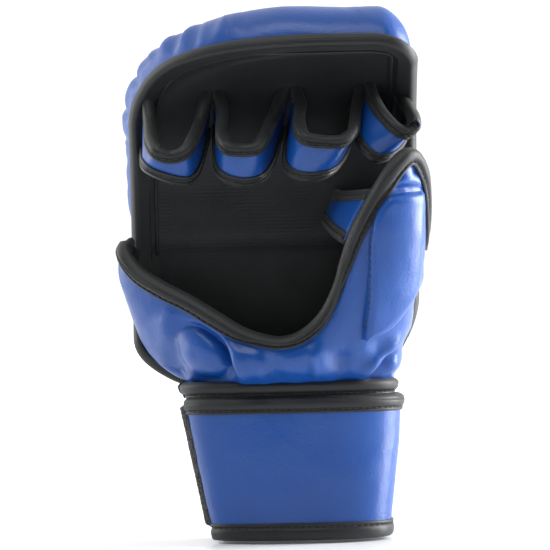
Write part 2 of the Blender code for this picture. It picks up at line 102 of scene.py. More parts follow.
def noise1(t, seed):
    """Smooth uneven values from -1 to 1 along a line, one cell per unit."""
    cell = np.floor(t)
    return mix(scatter(cell, seed), scatter(cell + 1, seed), smooth(t - cell)) * 2 - 1


def noise2(x, y, seed):
    """The same over a plane."""
    row = np.floor(y)
    share = smooth(y - row)

    def line(r):
        cell = np.floor(x)
        low, high = scatter(cell + r * HASH_ROW, seed), scatter(cell + 1 + r * HASH_ROW, seed)
        return mix(low, high, smooth(x - cell))

    return mix(line(row), line(row + 1), share) * 2 - 1


def cubic(a, b, c, d, t):
    """A smooth curve from b to c, at t from 0 to 1, that heads on from a and towards d."""
    square, cube = 2 * a - 5 * b + 4 * c - d, 3 * b - a - 3 * c + d
    return 0.5 * (2 * b + (c - a) * t + square * t**2 + cube * t**3)


def spline(points):
    """A smooth curve through the points, as a function of shares from 0 to 1."""
    points = np.array(points, float)
    last = len(points) - 1
    padded = np.vstack([2 * points[0] - points[1], points, 2 * points[-1] - points[-2]])

    def at(share):
        along = np.asarray(share, float) * last
        k = np.clip(np.floor(along), 0, last - 1).astype(int)
        t = (along - k)[..., None]
        return cubic(padded[k], padded[k + 1], padded[k + 2], padded[k + 3], t)

    return at


def slopes(point, u, v):
    """How a sheet runs across (along u) and along (along v)."""
    across = point(u + SMALL, v) - point(u - SMALL, v)
    along = point(u, v + SMALL) - point(u, v - SMALL)
    return across / (2 * SMALL), along / (2 * SMALL)


def normals(point, u, v, level=False):
    """Which way a sheet faces, or which way it faces seen from above."""
    facing = np.cross(*slopes(point, u, v))
    if level:
        facing[..., 2] = 0.0
    return unit(facing)


def offset(point, u, v, height, level=False):
    """Places at a height above a sheet."""
    return point(u, v) + normals(point, u, v, level) * np.broadcast_to(height, u.shape)[..., None]


def grid(u_range, v_range, columns, rows):
    """Evenly spaced places over a sheet, u first."""
    return np.meshgrid(np.linspace(*u_range, columns), np.linspace(*v_range, rows), indexing="ij")


# ---------------- meshes


def make(name, points, faces, material):
    """One piece from places in the layout and faces."""
    mesh = bpy.data.meshes.new(name)
    mesh.from_pydata(points * MM + ORIGIN, [], faces)
    body = bmesh.new()
    body.from_mesh(mesh)
    bmesh.ops.recalc_face_normals(body, faces=body.faces)
    body.to_mesh(mesh)
    body.free()
    mesh.shade_smooth()
    mesh.materials.append(material)
    piece = bpy.data.objects.new(name, mesh)
    bpy.context.collection.objects.link(piece)
    return piece


def quads(rows, columns, start=0, turn=False):
    """Faces over a grid of numbered places."""
    i, j = np.meshgrid(np.arange(rows - 1), np.arange(columns - 1), indexing="ij")
    a = (i * columns + j).ravel() + start
    faces = np.column_stack([a, a + columns, a + columns + 1, a + 1])
    return faces[:, ::-1] if turn else faces


def solid(name, outer, inner, material):
    """A closed skin between two grids of places, u first, whose outer side faces out."""
    rows, columns = outer.shape[:2]
    under = rows * columns
    index = np.arange(under).reshape(rows, columns)
    rim = np.concatenate([index[:, 0], index[-1, 1:], index[-2::-1, -1], index[0, -2:0:-1]])
    following = np.roll(rim, -1)
    side = np.column_stack([following, rim, rim + under, following + under])
    faces = np.vstack([quads(rows, columns), quads(rows, columns, under, True), side])
    return make(name, np.vstack([outer.reshape(-1, 3), inner.reshape(-1, 3)]), faces.tolist(), material)


def tube(name, points, material):
    """A closed skin round rings of places, with flat ends."""
    rings, n = points.shape[:2]
    k = np.arange(n)
    faces = []
    for ring in range(rings - 1):
        a, b = ring * n, (ring + 1) * n
        faces += np.column_stack([a + k, a + (k + 1) % n, b + (k + 1) % n, b + k]).tolist()
    faces += [list(range(n))[::-1], list(range((rings - 1) * n, rings * n))]
    return make(name, points.reshape(-1, 3), faces, material)


def loop_curve(points, count):
    """A closed smooth curve through a ring of points, evenly sampled in its parameter."""
    points = np.array(points, float)
    n = len(points)
    along = np.arange(count) / count * n
    k = np.floor(along).astype(int)
    t = (along - k)[:, None]
    return cubic(points[(k - 1) % n], points[k % n], points[(k + 1) % n], points[(k + 2) % n], t)


HEM = 1.7  # a binding's stitches run in a groove this far inside its hem


def tape_section(leg, thick, top, foot, nose):
    """A folded tape: puffed over the edge, with a stitched groove near its inner hem."""
    middle = (top + foot) / 2
    return loop_curve([
        (leg, top - 0.25), (leg + 0.15, top + thick * 0.75), (leg - 0.9, top + thick * 1.15),
        (leg - HEM, top + thick * 0.55), (leg - HEM - 1.0, top + thick * 1.5),
        (leg * 0.25, top + thick * 1.8), (-nose * 0.55, top + thick * 1.2), (-nose, middle),
        (-nose * 0.55, foot - thick), (leg * 0.4, foot - thick * 1.2), (leg, foot - thick),
        (leg, foot + 0.1),
    ], TAPE_POINTS)


STITCH_LENGTH, STITCH_PITCH, STITCH_RADIUS = 2.4, 3.3, 0.26
STITCH_SIDES = 6
STITCH_BULGE = ((0.0, 0.35), (0.18, 0.9), (0.5, 1.0), (0.82, 0.9), (1.0, 0.35))  # share, thickness
STITCH_LIFT, STITCH_SINK = 0.55, -0.3  # its middle lies above the leather and its ends go in


def stitch_row(name, path, normal):
    """Short thread stitches lying along a path."""
    steps = np.linalg.norm(np.diff(path, axis=0), axis=1)
    run = np.concatenate([[0], np.cumsum(steps)])
    starts = np.arange(STITCH_PITCH / 2, run[-1] - STITCH_LENGTH, STITCH_PITCH)
    sections = []
    for share, swell in STITCH_BULGE:
        at = starts + STITCH_LENGTH * share
        spot = np.column_stack([np.interp(at, run, path[:, i]) for i in range(3)])
        up = unit(np.column_stack([np.interp(at, run, normal[:, i]) for i in range(3)]))
        lift = STITCH_LIFT if 0 < share < 1 else STITCH_SINK
        sections.append((spot, up, swell * STITCH_RADIUS, lift))
    points, faces = [], []
    sides, rings = STITCH_SIDES, len(sections)
    for s in range(len(starts)):
        base = len(points)
        ahead = unit(sections[-1][0][s] - sections[0][0][s])
        for spot, up, size, lift in sections:
            side = np.cross(up[s], ahead)
            for k in range(sides):
                a = 2 * math.pi * k / sides
                points.append(spot[s] + (side * math.cos(a) + up[s] * (math.sin(a) + lift)) * size)
        for r in range(rings - 1):
            for k in range(sides):
                a, b = base + r * sides + k, base + r * sides + (k + 1) % sides
                faces.append((a, b, b + sides, a + sides))
        faces.append(tuple(range(base, base + sides))[::-1])
        faces.append(tuple(range(base + (rings - 1) * sides, base + rings * sides)))
    return make(name, np.array(points), faces, THREAD)


# ---------------- materials


class Nodes:
    """Short names for building a material's nodes."""

    def __init__(self, name):
        self.material = bpy.data.materials.new(name)
        self.material.use_nodes = True
        self.tree = self.material.node_tree
        self.shader = self.tree.nodes["Principled BSDF"]
        self.where = self.add("ShaderNodeTexCoord").outputs["Object"]

    def add(self, kind, **values):
        node = self.tree.nodes.new(kind)
        for key, value in values.items():
            self.link(value, node.inputs[key])
        return node

    def link(self, value, socket):
        if isinstance(value, bpy.types.NodeSocket):
            self.tree.links.new(value, socket)
        else:
            socket.default_value = value

    def noise(self, scale, detail=2.0):
        node = self.add("ShaderNodeTexNoise", Vector=self.where, Scale=scale, Detail=detail)
        return node.outputs["Fac"]

    def cells(self, scale):
        """Distance from the middles of soft-edged cells."""
        node = self.add("ShaderNodeTexVoronoi", Vector=self.where, Scale=scale)
        node.feature = "SMOOTH_F1"
        return node.outputs["Distance"]

    def maths(self, operation, a, b=0.0):
        node = self.add("ShaderNodeMath")
        node.operation = operation
        self.link(a, node.inputs[0])
        self.link(b, node.inputs[1])
        return node.outputs[0]

    def ramp(self, value, low, high, to_low=0.0, to_high=1.0):
        node = self.add("ShaderNodeMapRange")
        self.link(value, node.inputs["Value"])
        limits = {"From Min": low, "From Max": high, "To Min": to_low, "To Max": to_high}
        for key, limit in limits.items():
            self.link(limit, node.inputs[key])
        return node.outputs["Result"]

    def blend(self, share, a, b):
        """A colour between two, whose sockets on this node have only numbers."""
        node = self.add("ShaderNodeMix")
        node.data_type = "RGBA"
        self.link(share, node.inputs["Factor"])
        self.link(a, node.inputs[6])
        self.link(b, node.inputs[7])
        return node.outputs[2]

    def relief(self, height, distance, strength, **below):
        """A bumpy surface, on top of the one in Normal when that is given."""
        node = self.add("ShaderNodeBump", Height=height, Distance=distance, Strength=strength, **below)
        return node.outputs["Normal"]

    def finish(self, **values):
        for key, value in values.items():
            self.link(value, self.shader.inputs[key.replace("_", " ")])
        return self.material


def grey(value, tint=1.0):
    """A grey whose blue is stronger by the tint."""
    return (value, value * (1 + (tint - 1) / 2), value * tint, 1.0)


def leather(name, colour, worn, rough):
    """Soft coated leather: pebble grain, fine pores, cloudy tone and paler worn ridges."""
    n = Nodes(name)
    cloud = n.noise(24.0, 3.0)
    pebble = n.cells(1150.0)
    pores = n.noise(2600.0, 2.0)
    edge = n.add("ShaderNodeNewGeometry").outputs["Pointiness"]
    ridge = n.ramp(edge, 0.505, 0.56)
    tone = n.blend(n.ramp(cloud, 0.3, 0.7), colour, tuple(c * 0.86 for c in colour[:3]) + (1.0,))
    tone = n.blend(n.maths("MULTIPLY", ridge, 0.35), tone, worn)
    grain = n.maths("ADD", n.maths("MULTIPLY", pebble, 0.8), n.maths("MULTIPLY", pores, 0.25))
    soft = n.relief(n.noise(150.0, 3.0), 0.0007, 0.35)
    return n.finish(
        Base_Color=tone,
        Roughness=n.ramp(n.noise(60.0, 4.0), 0.25, 0.75, rough - 0.05, rough + 0.08),
        Normal=n.relief(grain, 0.00022, 0.55, Normal=soft),
        Specular_IOR_Level=0.42,
        Coat_Weight=0.14,
        Coat_Roughness=0.22,
    )


def woven(name, colour, scale, rough, relief, sheen):
    """Close-woven cloth: crossing threads with a soft sheen."""
    n = Nodes(name)
    split = n.add("ShaderNodeSeparateXYZ")
    n.link(n.where, split.inputs[0])
    waves = [n.maths("SINE", n.maths("MULTIPLY", split.outputs[k], scale)) for k in range(3)]
    crossing = [n.maths("MULTIPLY", waves[k], waves[2]) for k in range(2)]
    weave = n.maths("ADD", *crossing)
    fibres = n.noise(1800.0, 3.0)
    height = n.maths("ADD", n.maths("MULTIPLY", weave, 0.5), fibres)
    pale, deep = (tuple(c * share for c in colour[:3]) + (1.0,) for share in (1.35, 0.55))
    tone = n.blend(n.ramp(n.noise(45.0, 4.0), 0.3, 0.7), colour, pale)
    tone = n.blend(n.ramp(height, 0.2, 1.2, 0.0, 0.4), tone, deep)
    return n.finish(
        Base_Color=tone,
        Roughness=n.ramp(fibres, 0.3, 0.7, rough - 0.06, rough + 0.06),
        Normal=n.relief(height, 0.00012, relief),
        Sheen_Weight=sheen,
        Sheen_Roughness=0.5,
        Specular_IOR_Level=0.35,
    )


BLUE = leather("blue_leather", (0.005, 0.070, 0.330, 1.0), (0.030, 0.130, 0.440, 1.0), rough=0.35)
TAPE = woven("binding_tape", grey(0.0120, 1.15), scale=5200.0, rough=0.45, relief=0.5, sheen=0.06)
LINING = woven("lining_cloth", grey(0.0090, 1.3), scale=3600.0, rough=0.50, relief=0.35, sheen=0.04)
THREAD = woven("black_thread", grey(0.02, 1.1), scale=9000.0, rough=0.55, relief=0.5, sheen=0.3)
PILE = woven("loop_pile", grey(0.008, 1.1), scale=4200.0, rough=0.9, relief=1.0, sheen=0.5)

# ---------------- attaching


def place(layout):
    """A place in the layout, in millimetres, as a place in the frame."""
    return tuple(np.array(layout, float) * MM + ORIGIN)


def towards(first, second, start, end):
    """The first and second bodies, with the start and end turned into places in the frame."""
    return (first, second, place(start), place(end))


FLEX_REACH = 15.0  # the crease's start and end lie this far on both sides of it
WRIST_TO_FINGERS = towards(
    "hand", "fingers", (0, 0, FLEX_Z - FLEX_REACH), (0, 0, FLEX_Z + FLEX_REACH)
)
HAND_TO_THUMB = towards("hand", "thumb", (47.5, 0, 82.3), (62.5, 0, 108.3))
STRIP_TO_THUMB = towards("hand", "thumb", (0, -2, 0), (0, -38, 0))


def layer(name, point, u, v, top, foot, material, level=False):
    """A layer of material between two heights above a sheet."""
    return solid(name, offset(point, u, v, top, level), offset(point, u, v, foot, level), material)


def attach(piece, move, nodes=()):
    """Lets a piece move with a body, or, given two bodies, bakes its place where it stands; either way
    it hides the CAD nodes it replaces.
    """
    if isinstance(move, str):
        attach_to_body(piece, move)
    else:
        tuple(move[2])
        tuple(move[3])
        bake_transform(piece)
    if nodes:
        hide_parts(*nodes)


TRIM_STEPS = 4  # a binding's section is reached over the sheet in this many steps


def trim(name, point, u, v, move, nodes, inside, top=2.4, foot=-0.2, leg=4.6, thick=0.9, nose=1.9):
    """A binding along (u, v) on a sheet, whose legs follow it, with a row of stitches."""
    path, normal = point(u, v), normals(point, u, v)
    into = np.cross(unit(np.gradient(path, axis=0)), normal)
    if np.sum(into * (np.array(inside, float) - path)) < 0:
        into = -into

    def carried(section):
        """The section's places at every ring, reached in short steps over the sheet."""
        reach = np.broadcast_to(section[:, 0], (len(path), len(section)))
        at_u, at_v = u[:, None] + 0 * reach, v[:, None] + 0 * reach
        for _ in range(TRIM_STEPS):
            p, q = slopes(point, at_u, at_v)
            pp, pq, qq = (np.sum(a * b, axis=-1) for a, b in ((p, p), (p, q), (q, q)))
            ip, iq = np.sum(into[:, None] * p, axis=-1), np.sum(into[:, None] * q, axis=-1)
            whole = pp * qq - pq * pq
            at_u = at_u + (ip * qq - iq * pq) / whole * reach / TRIM_STEPS
            at_v = at_v + (iq * pp - ip * pq) / whole * reach / TRIM_STEPS
        return offset(point, at_u, at_v, section[:, 1])

    rings = carried(tape_section(leg, thick, top, foot, nose))
    attach(tube(name, rings, TAPE), move, nodes)
    row = carried(np.array([(leg - HEM, top + thick * 0.8)]))[:, 0]
    attach(stitch_row(f"{name}_stitches", row, normal), move)


# ---------------- back pad

BACK_FOOT = 79.0  # where s, the way up the back, starts
TUCK = -10.0  # the back's leather goes this far below that, into the cuff
STRAIGHT = 86.0  # from here on the back curls over the fingers
CURL_RADIUS, CURL = 70.0, math.radians(75.0)
LENGTH = STRAIGHT + CURL_RADIUS * CURL
SIDE_RADIUS, SIDE_BEND = 34.0, math.radians(36.0)  # how both sides of the back bend round the hand
LEFT_EDGE, RIGHT_EDGE = (-45.5, -72.4), (43.5, 59.2)  # at the wrist and further up
SIDES_FROM, LEFT_REACH, RIGHT_REACH = -4.0, 20.0, 36.0  # where the sides widen, and over how much
EDGE = 2.2  # the leather's height at the pad's edge
CORNER_LITTLE, CORNER_INDEX = (90.0, 56.0), (14.0, 13.0)  # the lip's corners, across and along
MITRE = 2.0  # how softly distances from two edges join
ROUNDING = 27.0  # how far inside its edge the pad reaches full thickness


def back_section(s):
    """Half the width along the lining, half its flat part, and the centre, at s up from the wrist."""
    little = np.sin(np.clip((s - SIDES_FROM) / LEFT_REACH, 0, 1) * math.pi / 2) ** 0.8
    thumb = np.sin(np.clip(s / RIGHT_REACH, 0, 1) * math.pi / 2)
    left, right = mix(*LEFT_EDGE, little), mix(*RIGHT_EDGE, thumb)
    half = (right - left) / 2 - 0.6 * np.maximum(SIDES_FROM - s, 0)
    flat = half - SIDE_RADIUS * math.sin(SIDE_BEND)
    return flat + SIDE_RADIUS * SIDE_BEND, flat, (left + right) / 2


def back_point(u, s):
    """The lining of the back: u from -1 on the thumb side to 1, s up from the wrist."""
    half_arc, flat, centre = back_section(s)
    arc = -u * half_arc
    turn = np.maximum(np.abs(arc) - flat, 0.0) / SIDE_RADIUS
    x = np.copysign(np.minimum(np.abs(arc), flat) + SIDE_RADIUS * np.sin(turn), arc)
    depth = SIDE_RADIUS * (1 - np.cos(turn))
    curl = np.maximum(s - STRAIGHT, 0.0) / CURL_RADIUS
    y = BACK_Y - CURL_RADIUS * (1 - np.cos(curl))
    z = BACK_FOOT + np.minimum(s, STRAIGHT) + CURL_RADIUS * np.sin(curl)
    return np.stack([centre + x, y - depth * np.cos(curl), z - depth * np.sin(curl)], axis=-1)


def outline(side, s):
    """Where the pad's outline lies at s: the lip's corners are rounded."""
    across, along = CORNER_LITTLE if side > 0 else CORNER_INDEX
    rise = np.clip((s - LENGTH) / along + 1, 0, 1)
    return side * (1 - across * (1 - np.sqrt(np.maximum(1 - rise**2, 0))) / back_section(s)[0])


def inside_edge(u, s):
    """How far inside the pad's outline a place lies."""
    top = LENGTH - s
    share, rounded = 0.0, False
    for side, (across, along) in ((1, CORNER_LITTLE), (-1, CORNER_INDEX)):
        flank = (1 - side * u) * back_section(s)[0]
        out, up = np.maximum(1 - flank / across, 0), np.maximum(1 - top / along, 0)
        round_it = np.hypot(out, up)
        slope = np.hypot(out / across, up / along) / np.maximum(round_it, 1e-6)
        corner = (1 - round_it) / np.maximum(slope, 1e-6)
        here = (out > 0) & (up > 0)
        share, rounded = share + np.exp(-np.where(here, corner, flank) / MITRE), rounded | here
    return -MITRE * np.log(share + np.where(rounded, 0.0, np.exp(-top / MITRE)))


def back_rows(finest):
    """Rows up the back, closing up towards the lip so that the rounded corner stays even."""
    straight = np.arange(TUCK, LENGTH - CORNER_LITTLE[1], finest)
    corner = LENGTH - CORNER_LITTLE[1] * (1 - np.sin(np.linspace(0, math.pi / 2, 64)))
    return np.concatenate([straight, corner])


SIDE_STEPS_SHARE = 0.46  # the lip is too short for the whole of both sides' steps


def back_grid(rows, middle, near):
    """Places across the pad for each row, closing up towards both sides."""
    half_arc = back_section(rows)[0][None]
    thumb, little = outline(-1, rows)[None], outline(1, rows)[None]
    room = SIDE_STEPS_SHARE * (little - thumb) * half_arc
    steps = near[:, None] * np.minimum(room / near[-1], 1.0) / half_arc
    left = thumb + steps
    right = (little - steps)[::-1]
    share = np.linspace(0, 1, middle + 2)[1:-1, None]
    u = np.concatenate([left, mix(left[-1:], right[:1], share), right])
    return u, np.broadcast_to(rows[None], u.shape)


PAD_FOOT_HEIGHT = 3.2
PAD_RISES = ((7.5, -7.0, 7.0), (16.0, 0.0, 50.0), (31.0, 45.0, 50.0))  # height, from s on, reach
FLEX_CHANNEL, WRIST_CHANNEL = 71.0, 30.0  # the two stitched channels across
CHANNEL_STITCHES = 2.2  # on both sides of them
SOFT_CHANNELS = (112.0, 146.0)


def pad_height(u, s):
    """How thick the pad is away from its edges."""
    full = PAD_FOOT_HEIGHT
    for height, start, reach in PAD_RISES:
        full = mix(full, height, smooth((s - start) / reach))
    full = full * (1 - 0.34 * bump(s, FLEX_CHANNEL, 5.0) - 0.22 * bump(s, WRIST_CHANNEL, 4.0))
    x = -u * back_section(s)[0]
    for line in SOFT_CHANNELS:
        full = full * (1 - 0.07 * bump(s, line, 4.0) * smooth((60.0 - np.abs(x)) / 20.0))
    return full


GATHER_CENTRE = (-8.0, 110.0)  # (x, s) of the finger section's middle, which the gathers point to
GATHERS = (144.0, 127.0, 112.0, 101.0, 90.0)  # along the little finger's side
GATHER_SIDE, GATHER_WIDTH = -68.0, 0.045  # where that side runs, and a gather's width in radians
THUMB_LEAN = 0.72  # how much of its height the thumb's side leans in towards the back
SIDE_SWELL, FOOT_SWELL, FOOT_SWELL_BELOW = 3.0, 9.0, 14.0  # past the binding; the second beside the cuff

# Round the finger section's middle, in radians from the thumb's side
LIP_SWELL_AT, LIP_SWELL_WIDTH = 2.3, 0.55
LEFT_CORNER_AT, RIGHT_CORNER_AT = 2.15, 0.83


def gathers(angle):
    """How far the little finger's side is pulled in, from 0 to 1."""
    fold = np.zeros_like(angle)
    for k, line in enumerate(GATHERS):
        at = math.atan2(line - GATHER_CENTRE[1], GATHER_SIDE - GATHER_CENTRE[0]) % (2 * math.pi)
        fold = fold + (1.0 - 0.14 * k) * bump(angle % (2 * math.pi), at, GATHER_WIDTH)
    return fold


def pad_surface(u, s):
    """The pad's outer face: a puffed edge that swells past its binding, gathered where it turns."""
    half_arc = back_section(s)[0]
    x = -u * half_arc
    deep = np.clip(inside_edge(u, s) / ROUNDING, 0, 1)
    turn = np.arccos(1 - deep)
    rise, near = np.sin(turn), (1 - deep) ** 1.6
    aside, above = x - GATHER_CENTRE[0], s - GATHER_CENTRE[1]
    angle = np.arctan2(above, aside)
    out = smooth(np.hypot(above, aside) / 55.0 - 0.1)
    lip = bump(angle, LIP_SWELL_AT, LIP_SWELL_WIDTH) * (1 - 0.35 * deep) * out
    tilt = 1 - 0.0011 * (x + 20.0) * smooth((s - 135.0) / 25.0)  # the lip is a little higher on the left
    height = EDGE + (pad_height(u, s) * tilt * (1 + 0.08 * lip) - EDGE) * rise
    little = np.where(x < 0, 1.0, 0.0)
    swell = SIDE_SWELL * rise * np.cos(turn) ** 1.5 * smooth((angle - 0.9) / 0.5 + 2 * little)
    low = little * smooth((FOOT_SWELL_BELOW - s) / 10.0)
    swell = swell + FOOT_SWELL * rise * np.cos(turn) * low
    flank = np.clip((1 + u) * half_arc / ROUNDING, 0, 1)
    lean = THUMB_LEAN * (1 - little) * height * (1 - flank)
    fold = gathers(angle) * little
    corner = bump(angle, LEFT_CORNER_AT, 0.50) + 0.35 * bump(angle, RIGHT_CORNER_AT, 0.14)
    ripple = noise1(angle * 12.0 + deep * 1.5, 3.0) + noise1(angle * 29.0 - deep, 5.0) * 0.5
    height = height * (1 - 0.18 * fold * near) + ripple * corner * near**5 * rise * 20.0
    swell = swell * (1 - 1.1 * np.minimum(fold, 1)) + ripple * corner * near**2 * rise * 0.3
    height = height + rise * noise2(x / 17.0, s / 13.0, 2.0) * 0.55
    height = height + rise * noise2(x / 6.0, s / 5.0, 4.0) * 0.12
    e = 0.05
    toward = (inside_edge(u + e / half_arc, s) - inside_edge(u - e / half_arc, s)) / (2 * e)
    up = (inside_edge(u, s + e) - inside_edge(u, s - e)) / (2 * e)
    across, along = (unit(line) for line in slopes(back_point, u, s))
    outward = -unit(across * toward[..., None] + along * up[..., None])
    moved = outward * swell[..., None] + across * lean[..., None]
    return offset(back_point, u, s, height) + moved


def make_pad():
    near = ROUNDING * (1 - np.cos(np.linspace(0, math.pi / 2, 22)))
    u, s = back_grid(back_rows(1.5), 60, near)
    shell = solid("pad_shell", pad_surface(u, s), offset(back_point, u, s, LINING_TOP), BLUE)
    nodes = ("back_shell", "back_foam", "finger_pad_shell", "finger_pad_foam")
    attach(shell, WRIST_TO_FINGERS, nodes)

    near = np.array([0, 1, 2, 3.5, 5, 6.5, 8, 9.5, 11, 13, 16, 20, 25.0])
    u, s = back_grid(back_rows(3.0), 30, near)
    x, inside = -u * back_section(s)[0], inside_edge(u, s)
    puff = 0.5 + 1.3 * smooth((inside - 4.0) / 14.0)
    puff = puff - 0.6 * bump(inside, PIPING_INSET + 0.5, 1.2) - 0.8 * bump(s, 62.0, 2.2)
    puff = puff + 0.35 * noise2(x / 14.0, s / 11.0, 8.0) * smooth(inside / 20.0)
    lining = layer("pad_lining", back_point, u, s, 0.9, -puff, LINING)
    attach(lining, WRIST_TO_FINGERS, ("back_lining", "finger_pad_lining"))

    for name, line in (("flex", FLEX_CHANNEL), ("wrist", WRIST_CHANNEL)):
        for side, sign in (("low", -1), ("high", 1)):
            u, s = np.linspace(0.90, -0.90, 160), np.full(160, line)
            row = pad_surface(u, s + sign * CHANNEL_STITCHES)
            stitches = stitch_row(f"{name}_stitches_{side}", row, normals(back_point, u, s))
            attach(stitches, WRIST_TO_FINGERS)

    u, s = pad_edge()
    nodes = ("back_little_side_binding", "back_thumb_side_binding", "finger_pad_binding")
    trim("pad_binding", back_point, u, s, WRIST_TO_FINGERS, nodes, (0, BACK_Y, FLEX_Z),
         EDGE + 0.2, -0.7, leg=6.4, thick=1.1)
    make_piping(u, s)


def pad_edge():
    """Even steps up the pad's thumb side, over its lip and down the other side."""
    rows = back_rows(2.0)
    rows = rows[rows >= SIDES_FROM]
    lip = np.linspace(outline(-1, LENGTH), outline(1, LENGTH), 40)[1:-1]
    u = np.concatenate([outline(-1, rows), lip, outline(1, rows)[::-1]])
    s = np.concatenate([rows, np.full(len(lip), LENGTH), rows[::-1]])
    path = back_point(u, s)
    run = np.concatenate([[0], np.cumsum(np.linalg.norm(np.diff(path, axis=0), axis=1))])
    even = np.linspace(0, run[-1], 260)
    return np.interp(even, run, u), np.interp(even, run, s)


PIPING_INSET, PIPING_FROM, PIPING_RADIUS = 10.0, 55.0, 0.75


def make_piping(u, s):
    """A corded seam inside the pad's lining, parallel to its binding."""
    shrink = 1 - PIPING_INSET / back_section(s)[0]
    row = np.minimum(s, LENGTH - PIPING_INSET)
    edge = row + PIPING_INSET * 0.2
    u = np.clip(u, outline(-1, edge) * shrink, outline(1, edge) * shrink)
    u, row = u[s > PIPING_FROM], row[s > PIPING_FROM]
    path, normal = offset(back_point, u, row, -1.0), normals(back_point, u, row)
    side = np.cross(unit(np.gradient(path, axis=0)), normal)
    turn = np.linspace(0, 2 * math.pi, 13)[:-1, None]
    round_it = side[:, None] * np.cos(turn) + normal[:, None] * np.sin(turn)
    cord = tube("lining_piping", path[:, None] + PIPING_RADIUS * round_it, TAPE)
    attach(cord, WRIST_TO_FINGERS)


# ---------------- finger loops

# Where each loop's top and foot rims run, as (x, z), from its little-finger seam to its index seam.
LOOPS = {
    "little": (
        [(-67, 212), (-65.8, 199), (-64.8, 189.5), (-61.5, 183.4), (-54.5, 181),
         (-47.4, 183.2), (-43.6, 188.5), (-40, 198.5), (-35.6, 214.5)],
        [(-69, 186), (-68.5, 181), (-66.5, 176.5), (-59, 172.3),
         (-50, 169.3), (-44.8, 170.8), (-41.0, 180), (-37.4, 196)],
    ),
    "ring": (
        [(-34.2, 214.5), (-31.2, 203), (-31.6, 191), (-28.5, 184.8), (-21.5, 183.4),
         (-13.6, 184.4), (-9.6, 189.5), (-5.6, 199), (1.6, 215)],
        [(-34, 197), (-33.6, 185), (-32.5, 174.8), (-27.5, 169.6),
         (-20, 168), (-12, 170.5), (-6.8, 180), (-1.8, 196)],
    ),
    "middle": (
        [(3.2, 215), (5.8, 205), (5.0, 196), (8.0, 188.6), (16.5, 186.6),
         (26.5, 186.8), (32.0, 191), (34, 202), (37.4, 215.5)],
        [(2.2, 197), (0.0, 185), (-0.3, 175.4), (4, 170.8),
         (12, 169.8), (20.5, 173), (27, 181), (31, 190)],
    ),
    "index": (
        [(38.4, 216), (40.2, 209), (43.8, 201.2), (50.2, 193.2), (55.6, 190),
         (60.4, 191.8), (60.8, 196.8), (58.8, 202.5), (55.5, 209)],
        [(36.4, 209), (34, 198), (33.8, 187), (38, 180.5),
         (43, 178), (50, 181), (55, 187), (57, 193)],
    ),
}
# How far each of those points stands out, from 0 at the pad's lining to 1 at the loop's front
TOP_REACH = (0.0, 0.42, 0.80, 1.0, 1.0, 1.0, 0.86, 0.48, 0.0)
FOOT_REACH = (0.0, 0.45, 0.88, 1.0, 1.0, 0.90, 0.46, 0.0)
TOP_FRONT = {"little": -27.0, "ring": -29.0, "middle": -30.0, "index": -26.0}
FOOT_FRONT = {"little": -21.0, "ring": -23.0, "middle": -24.0, "index": -21.0}
SEAM_DEPTH = 1.5  # a loop's ends go this far into the pad's lining
LOOP_MIDDLE_Y = -6.0  # the middle of a finger's hole
LOOP_BULGE = 1.3
LOOP_SKIN_FOOT, LOOP_LINING_TOP, LOOP_LINING_FOOT = -1.1, -1.15, -2.5
BINDING_HALF = 0.8  # the lines above run along the middle of each binding


def lining_y(x, z):
    """How far back the pad's lining lies at (x, z)."""
    rise = np.clip((z - BACK_FOOT - STRAIGHT) / CURL_RADIUS, 0, 0.97)
    _, flat, centre = back_section(STRAIGHT)
    side = np.maximum(np.abs(x - centre) - flat, 0.0)
    turn = np.arcsin(np.clip(side / SIDE_RADIUS, 0, 0.9))
    curl = CURL_RADIUS * (1 - np.sqrt(1 - rise**2))
    return BACK_Y - curl - SIDE_RADIUS * (1 - np.cos(turn))


def loop_rim(line, reach, front):
    """A rim from seam to seam round a finger."""
    return spline([
        (x, mix(float(lining_y(x, z)) + SEAM_DEPTH, front, r), z) for (x, z), r in zip(line, reach)
    ])


def loop_sheet(finger):
    """u from the little-finger seam to the index seam, v from the foot to the top."""
    top_line, foot_line = LOOPS[finger]
    top = loop_rim(top_line, TOP_REACH, TOP_FRONT[finger])
    foot = loop_rim(foot_line, FOOT_REACH, FOOT_FRONT[finger])
    centre = np.array([(top_line[0][0] + top_line[-1][0]) / 2, LOOP_MIDDLE_Y, 0.0])

    def point(u, v):
        u, v = np.broadcast_arrays(np.asarray(u, float), np.asarray(v, float))
        low, high = foot(u), top(u)
        rise = unit(high - low) * BINDING_HALF
        low, high = low - rise, high + rise
        middle = mix(low, high, v[..., None])
        out = (low + high) / 2 - centre
        out[..., 2] = 0.0
        return middle + unit(out) * (LOOP_BULGE * np.sin(math.pi * np.clip(v, 0, 1)))[..., None]

    return point


def make_loops():
    for finger in LOOPS:
        point = loop_sheet(finger)
        u, v = grid((0, 1), (0, 1), 61, 15)
        wave = 0.22 * noise2(u * 9.0, v * 3.0, 11.0) * np.sin(math.pi * v)
        shell = layer(f"{finger}_shell", point, u, v, wave, LOOP_SKIN_FOOT, BLUE)
        attach(shell, "fingers", [f"{finger}_loop_shell"])
        lining = layer(f"{finger}_lining", point, u, v, LOOP_LINING_TOP, LOOP_LINING_FOOT, LINING)
        attach(lining, "fingers", [f"{finger}_loop_lining"])
        line = np.linspace(0, 1, 81)
        inside = point(line, np.full(81, 0.5)).mean(axis=0)
        for edge, level in (("top", 1.0), ("foot", 0.0)):
            trim(f"{finger}_{edge}_binding", point, line, np.full(81, level), "fingers",
                 [f"{finger}_loop_{edge}_binding"], inside, 0.2, -2.6, leg=3.9)


# ---------------- heel and thumb

